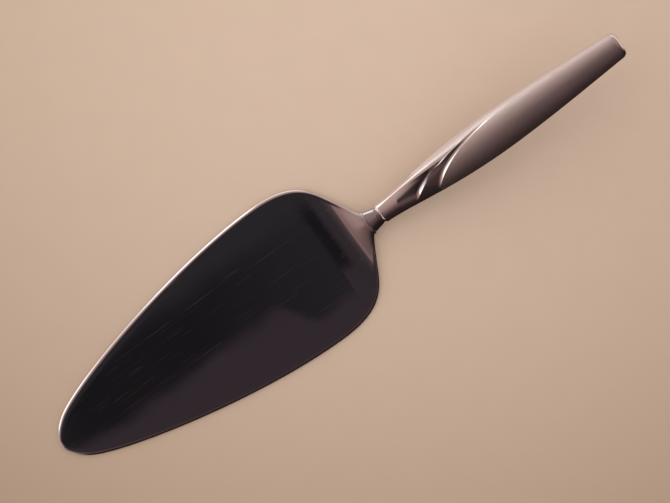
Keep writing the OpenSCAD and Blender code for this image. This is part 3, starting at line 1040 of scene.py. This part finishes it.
# %% Table and glow
TABLE_BRIGHT = (0.60, 0.45, 0.38, 1)
TABLE_DARK = (0.018, 0.012, 0.010, 1)
TABLE_BY_Z = (0.05, -0.1)
GLOW = (1.15, 0.96, 0.88, 1)
GLOW_BY_Z = (0.25, 0.05)
LIT_BY_Y = (0.0, 0.35)
LIT_AHEAD = (-0.4, -0.65)
AHEAD_SLANT = -0.3
LIT_BEHIND_BY_X = (0.35, 0.6)
LIT_BEHIND_BY_Y = (-0.5, -0.2)


def lit_sides(tree, x, y):
    """The greatest of three eases: the window's side, the blade's end, and behind the handle."""
    behind = calc(tree, "MULTIPLY", ease(tree, x, *LIT_BEHIND_BY_X), ease(tree, y, *LIT_BEHIND_BY_Y))
    ahead = calc(tree, "MULTIPLY_ADD", y, AHEAD_SLANT, x)
    lit = calc(tree, "MAXIMUM", ease(tree, y, *LIT_BY_Y), ease(tree, ahead, *LIT_AHEAD))
    return calc(tree, "MAXIMUM", lit, behind)


def with_table(tree, seen, x, y, z):
    """The room's colour with the glow over the horizon and the table below it."""
    lit = lit_sides(tree, x, y)
    below = blend(tree, lit, TABLE_DARK, TABLE_BRIGHT)
    seen = blend(tree, calc(tree, "MULTIPLY", lit, ease(tree, z, *GLOW_BY_Z)), seen, GLOW)
    return blend(tree, ease(tree, z, *TABLE_BY_Z), seen, below)


print("table: complete below z", TABLE_BY_Z[1], "and glow up to z", GLOW_BY_Z[0])

# %% [markdown]
# The world
#
# Only glossy rays see the room. Other rays get an even fill, so that the shapes in the mirror don't light
# the card in patches, and the camera sees a plain backdrop. Blender can also aim rays straight at a
# world's bright parts. Those count as neither kind and would bring the fill into the satin, so that is
# turned off.

# %% World
FILL = (0.80, 0.80, 0.80, 1)
BACKDROP = (0.62, 0.45, 0.35, 1)
DARKEST_TO = (0.05, 0.07, 0)
WALLS_FROM, WALLS_TO = 0.24, 0.40


def from_darkest(tree, way):
    """How far a direction is from the ceiling's darkest place, in plan: the length of (x, y) + D."""
    plan = vector_calc(tree, "MULTIPLY_ADD", way, (1, 1, 0), DARKEST_TO)[0]
    return vector_calc(tree, "LENGTH", plan)["Value"]


def room_colour(tree):
    """Ceiling, then walls further out, then the table and its glow, and the windows over all."""
    way = add(tree, "ShaderNodeTexCoord").outputs["Generated"]
    x, y, z = add(tree, "ShaderNodeSeparateXYZ", {0: way}).outputs
    outward = ease(tree, from_darkest(tree, way), WALLS_FROM, WALLS_TO)
    seen = blend(tree, outward, ceiling(tree, x, y), walls(tree, x, y))
    return blend(tree, windows(tree, x, y, z), with_table(tree, seen, x, y, z), WINDOW_COLOUR)


def make_room():
    """A world that shows its room to glossy rays, a fill to the others and a backdrop to the camera."""
    world = bpy.data.worlds.new("room")
    bpy.context.scene.world = world
    world.use_nodes = True
    world.cycles.sampling_method = "NONE"
    tree = world.node_tree
    tree.nodes.clear()
    path = add(tree, "ShaderNodeLightPath")
    colour = blend(tree, path.outputs["Is Glossy Ray"], FILL, room_colour(tree))
    colour = blend(tree, path.outputs["Is Camera Ray"], colour, BACKDROP)
    shine = add(tree, "ShaderNodeBackground", {"Color": colour})
    add(tree, "ShaderNodeOutputWorld", {"Surface": shine.outputs[0]})
    return world


room = make_room()
print("world:", room.name, len(room.node_tree.nodes), "nodes")

# %% [markdown]
# Finishes that several metals share
#
# Some marks of use are on several pieces, in other strengths. They could be wired anew in every material.
# As a node group each is built once, and a metal places it with its own values. A group puts out only
# masks, and the shader stays in the material.

# %% Group and bump helpers
FLOAT, VECTOR = "NodeSocketFloat", "NodeSocketVector"


def new_group(name, inputs, outputs):
    """A shader node group whose inputs are given as (name, kind, default) and outputs as names. Gives the
    group, the sockets that bring its inputs in and the sockets that take its outputs."""
    group = bpy.data.node_groups.new(name, "ShaderNodeTree")
    for label, kind, value in inputs:
        socket = group.interface.new_socket(label, in_out="INPUT", socket_type=kind)
        if value is not None:
            socket.default_value = value
    for label in outputs:
        group.interface.new_socket(label, in_out="OUTPUT", socket_type=FLOAT)
    print(f"group {name}:", [label for label, *_ in inputs], "to", outputs)
    return group, add(group, "NodeGroupInput").outputs, add(group, "NodeGroupOutput").inputs


def place_group(tree, group, **values):
    """A group placed in a material, fed by input name. Gives its outputs."""
    return add(tree, "ShaderNodeGroup", values, node_tree=group).outputs


def bump(tree, shader, height, strength, distance):
    """Tilts a shader's normals by the slope of a height."""
    node = add(tree, "ShaderNodeBump", {"Height": height, "Strength": strength, "Distance": distance})
    feed(tree, shader.inputs["Normal"], node.outputs[0])


print("group and bump helpers:", [helper.__name__ for helper in (new_group, place_group, bump)])

# %% [markdown]
# Hairline scratches
#
# Years of wiping leave fine lines that all run one way. Lines in an image would be too coarse close by, so
# noise is stretched along X, and a line is drawn where it crosses its middle value. The same noise gives
# the grain of a brushed surface.

# %% Hairline scratches
NOISE_MIDDLE = 0.5
SCRATCH_INPUTS = (
    ("Vector", VECTOR, None),
    ("Fineness", FLOAT, 900.0),
    ("Stretch", FLOAT, 0.02),
    ("Width", FLOAT, 0.012),
)
FINE = {"Detail": 3.0, "Roughness": 0.6}
SLOW = {"Detail": 2.0}
SLOWER = 0.4
BROKEN_BY = (0.5, 0.68)
GRAIN_BY = (0.32, 0.68)


def make_scratches():
    """Hairlines and grain: noise stretched along X. Where slow noise crosses its middle value runs a thin
    line, and finer noise breaks the lines up."""
    group, given, out = new_group("hairline_scratches", SCRATCH_INPUTS, ["Marks", "Grain"])
    stretch = add(group, "ShaderNodeCombineXYZ", {"X": given["Stretch"], "Y": 1.0, "Z": 1.0}).outputs[0]
    laid = vector_calc(group, "MULTIPLY", given["Vector"], stretch)[0]
    fine = noise(group, laid, Scale=given["Fineness"], **FINE)
    slow = noise(group, laid, Scale=calc(group, "MULTIPLY", given["Fineness"], SLOWER), **SLOW)
    off_line = calc(group, "ABSOLUTE", calc(group, "SUBTRACT", slow, NOISE_MIDDLE))
    line = calc(group, "SUBTRACT", 1.0, ease(group, off_line, 0.0, given["Width"]))
    feed(group, out["Marks"], calc(group, "MULTIPLY", line, ease(group, fine, *BROKEN_BY)))
    feed(group, out["Grain"], ease(group, fine, *GRAIN_BY))
    return group


scratches = make_scratches()

# %% [markdown]
# Handling bloom
#
# Hands and cloths leave broad soft patches that shine a little less. An image of smudges would repeat or
# end at a seam. Slow noise, squeezed to a soft mask, does neither.

# %% Handling bloom
BLOOM_INPUTS = (("Vector", VECTOR, None), ("Scale", FLOAT, 30.0), ("Amount", FLOAT, 1.0))
PATCHES = {"Detail": 4.0, "Roughness": 0.55}
BLOOM_BY = (0.4, 0.7)


def make_bloom():
    """A mask of broad soft patches: a smooth step of slow noise, times the amount."""
    group, given, out = new_group("handling_bloom", BLOOM_INPUTS, ["Bloom"])
    slow = noise(group, given["Vector"], Scale=given["Scale"], **PATCHES)
    feed(group, out["Bloom"], calc(group, "MULTIPLY", ease(group, slow, *BLOOM_BY), given["Amount"]))
    return group


bloom = make_bloom()

# %% [markdown]
# Edge wear
#
# Use rubs the edges that stick out brighter. They could be marked by hand on each mesh, but the pointiness
# that Blender works out from the mesh finds them on every piece.

# %% Edge wear
WEAR_INPUTS = (("Start", FLOAT, 0.515), ("End", FLOAT, 0.56), ("Amount", FLOAT, 0.5))


def make_edge_wear():
    """A mask of the edges that stick out: a smooth step of the pointiness, times the amount."""
    group, given, out = new_group("edge_wear", WEAR_INPUTS, ["Wear"])
    shape = add(group, "ShaderNodeNewGeometry")
    rubbed = ease(group, shape.outputs["Pointiness"], given["Start"], given["End"])
    feed(group, out["Wear"], calc(group, "MULTIPLY", rubbed, given["Amount"]))
    return group


edge_wear = make_edge_wear()

# %% [markdown]
# Polished steel
#
# The blade and the collar are buffed to a mirror. A perfectly flat mirror looks like glass, so the steel
# has a slight unevenness that bends the room's reflection, hairlines along the blade from years of
# wiping, and some bloom where fingers and cake have been. All of it is in the material, because a
# hairline is far finer than any mesh.

# %% Polished steel
STEEL_LINES = {"Fineness": 1900.0, "Stretch": 0.02, "Width": 0.05}
STEEL_BLOOM = 26.0
EDGE_RUB = 0.5
BLOOM_ROUGHENS, GRAIN_ROUGHENS, MARKS_ROUGHEN = 0.02, 0.015, 0.4
WAVE = {"Scale": 20.0, "Detail": 1.5}
WAVE_D = 0.8 * MM


def polished_steel(name, colour, worn, roughness, wave, marks_share):
    """Mirror-bright metal: bloom and hairlines raise its roughness, and a slow bump bends its mirror."""
    material, tree, metal = new_material(name, "ShaderNodeBsdfPrincipled", {"Metallic": 1.0})
    place = add(tree, "ShaderNodeTexCoord").outputs["Object"]
    marks, grain = place_group(tree, scratches, Vector=place, **STEEL_LINES)
    hands = place_group(tree, bloom, Vector=place, Scale=STEEL_BLOOM)[0]
    wear = place_group(tree, edge_wear, Amount=EDGE_RUB)[0]
    marked = calc(tree, "MULTIPLY", marks, marks_share)
    tone = blend(tree, wear, colour, worn)
    feed(tree, metal.inputs["Base Color"], blend(tree, marked, tone, worn))
    rough = calc(tree, "MULTIPLY_ADD", hands, BLOOM_ROUGHENS, roughness)
    rough = calc(tree, "MULTIPLY_ADD", grain, GRAIN_ROUGHENS, rough)
    feed(tree, metal.inputs["Roughness"], calc(tree, "MULTIPLY_ADD", marked, MARKS_ROUGHEN, rough))
    bump(tree, metal, noise(tree, place, **WAVE), wave, WAVE_D)
    return material


blade_steel = polished_steel(
    "blade_steel",
    colour=(0.74, 0.72, 0.74, 1),
    worn=(0.90, 0.88, 0.90, 1),
    roughness=0.02,
    wave=0.2,
    marks_share=0.4,
)
collar_steel = polished_steel(
    "collar_steel",
    colour=(0.58, 0.56, 0.57, 1),
    worn=(0.82, 0.79, 0.79, 1),
    roughness=0.05,
    wave=0.05,
    marks_share=0.15,
)

# %% [markdown]
# Silver, polished and satin
#
# The handle is one metal with two finishes: flutes as bright as a spoon, and behind the last crest a grip
# brushed along its length, which smears reflections across it. Two materials would meet in a hard step
# between faces, so one material reads the stored numbers. Tarnish darkens the hollows, where no cloth
# reaches.

# %% Handle silver
HANDLE_LINES = {"Fineness": 4200.0, "Stretch": 0.05, "Width": 0.03}
ROLLED_W = 26 * MM
HANDLE_BLOOM = 45.0
TARNISH_BY, TARNISH_SHARE = (0.0, 0.75), 0.85
DULL_SHARE, MARKS_SHARE = 0.28, 0.3
POLISH_ROUGH, SATIN_ROUGHENS = 0.05, 0.32
HANDS_ROUGHEN, BRUSHING_ROUGHENS = 0.03, 0.08
SATIN_ANISOTROPY = 0.6
BRUSH_TURN = 0.25
BRUSH_BUMP, BRUSH_D = 0.3, 0.02 * MM


def brush_grid(tree, along, around):
    """The handle's surface rolled out flat, in metres: the distance along it and the turn round it."""
    inputs = {"X": calc(tree, "MULTIPLY", along, MM), "Y": calc(tree, "MULTIPLY", around, ROLLED_W)}
    return add(tree, "ShaderNodeCombineXYZ", inputs).outputs[0]


def handle_metal(name, colour, worn, dull, tarnish):
    """Silver that changes from polish to satin by the satin attribute: satin and brush lines raise its
    roughness, and its reflections are stretched across the handle's axis."""
    constants = {"Metallic": 1.0, "Anisotropic Rotation": BRUSH_TURN}
    material, tree, metal = new_material(name, "ShaderNodeBsdfPrincipled", constants)
    satin, deep, along, around = (
        add(tree, "ShaderNodeAttribute", attribute_name=key).outputs["Fac"]
        for key in ("satin", "hollow", "along", "around")
    )
    grid = brush_grid(tree, along, around)
    marks, grain = place_group(tree, scratches, Vector=grid, **HANDLE_LINES)
    place = add(tree, "ShaderNodeTexCoord").outputs["Object"]
    hands = place_group(tree, bloom, Vector=place, Scale=HANDLE_BLOOM)[0]
    wear = place_group(tree, edge_wear, Amount=EDGE_RUB)[0]
    brushed = calc(tree, "MULTIPLY", grain, satin)
    dark = calc(tree, "MULTIPLY", ease(tree, deep, *TARNISH_BY), TARNISH_SHARE)
    tone = blend(tree, dark, colour, tarnish)
    tone = blend(tree, calc(tree, "MULTIPLY", brushed, DULL_SHARE), tone, dull)
    tone = blend(tree, wear, tone, worn)
    tone = blend(tree, calc(tree, "MULTIPLY", marks, MARKS_SHARE), tone, worn)
    feed(tree, metal.inputs["Base Color"], tone)
    rough = calc(tree, "MULTIPLY_ADD", satin, SATIN_ROUGHENS, POLISH_ROUGH)
    rough = calc(tree, "MULTIPLY_ADD", hands, HANDS_ROUGHEN, rough)
    rough = calc(tree, "MULTIPLY_ADD", brushed, BRUSHING_ROUGHENS, rough)
    feed(tree, metal.inputs["Roughness"], rough)
    feed(tree, metal.inputs["Anisotropic"], calc(tree, "MULTIPLY", satin, SATIN_ANISOTROPY))
    axis = add(tree, "ShaderNodeCombineXYZ", {"X": math.cos(TILT), "Z": math.sin(TILT)})
    feed(tree, metal.inputs["Tangent"], axis.outputs[0])
    bump(tree, metal, brushed, BRUSH_BUMP, BRUSH_D)
    return material


handle_silver = handle_metal(
    "handle_silver",
    colour=(0.93, 0.89, 0.87, 1),
    worn=(0.98, 0.96, 0.94, 1),
    dull=(0.62, 0.49, 0.47, 1),
    tarnish=(0.21, 0.19, 0.205, 1),
)

# %% [markdown]
# Solder and filler
#
# The solder is a hair of dull silver along the handle's side. The filler is a sandy cement that nobody
# sees while the handle is whole, but a piece that is taken apart should still look like what it is. Both
# are grains of two tones, so one function makes both.

# %% Solder and filler
GRAIN_DETAIL = 6.0
GRAIN_ROUGHER = 0.2
GRAIN_D = 0.1 * MM


def grainy_finish(name, low, high, scale, roughness, metallic, coarse):
    """A granular finish: two tones mixed by noise, and the same noise as roughness and as bump."""
    material, tree, shader = new_material(name, "ShaderNodeBsdfPrincipled", {"Metallic": metallic})
    place = add(tree, "ShaderNodeTexCoord").outputs["Object"]
    grain = noise(tree, place, Scale=scale, Detail=GRAIN_DETAIL)
    feed(tree, shader.inputs["Base Color"], blend(tree, grain, low, high))
    rough = calc(tree, "MULTIPLY_ADD", grain, GRAIN_ROUGHER, roughness)
    feed(tree, shader.inputs["Roughness"], rough)
    bump(tree, shader, grain, coarse, GRAIN_D)
    return material


solder = grainy_finish(
    "solder",
    low=(0.42, 0.37, 0.35, 1),
    high=(0.62, 0.57, 0.54, 1),
    scale=2500.0,
    roughness=0.3,
    metallic=1.0,
    coarse=0.3,
)
filler = grainy_finish(
    "filler",
    low=(0.45, 0.40, 0.32, 1),
    high=(0.66, 0.61, 0.52, 1),
    scale=900.0,
    roughness=0.75,
    metallic=0.0,
    coarse=0.8,
)

# %% [markdown]
# Dress the part
#
# Each new surface stands for the solid with the same form, rides on the one body that the server has, and
# takes the finish of that solid's slot. The solder and the filler keep their solids.

# %% Dress
dressed = (
    (blade_skin, "blade", "blade_steel", blade_steel),
    (collar_skin, "collar", "collar_steel", collar_steel),
    (upper_skin, "handle_upper_shell", "handle_silver", handle_silver),
    (lower_skin, "handle_lower_shell", "handle_silver", handle_silver),
)
for piece, node, slot, material in dressed:
    piece.data.materials.append(material)
    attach(piece, "root")
    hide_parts(node)
for node, material in (("seam_solder", solder), ("handle_filler", filler)):
    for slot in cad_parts[node].material_slots:
        slot.material = material
print("dressed:", [piece.name for piece, *_ in dressed])

# %% [markdown]
# Look
#
# The view transform is plain, so that colours come out as they are written.

# %% Finish
bpy.context.scene.view_settings.view_transform = "Standard"
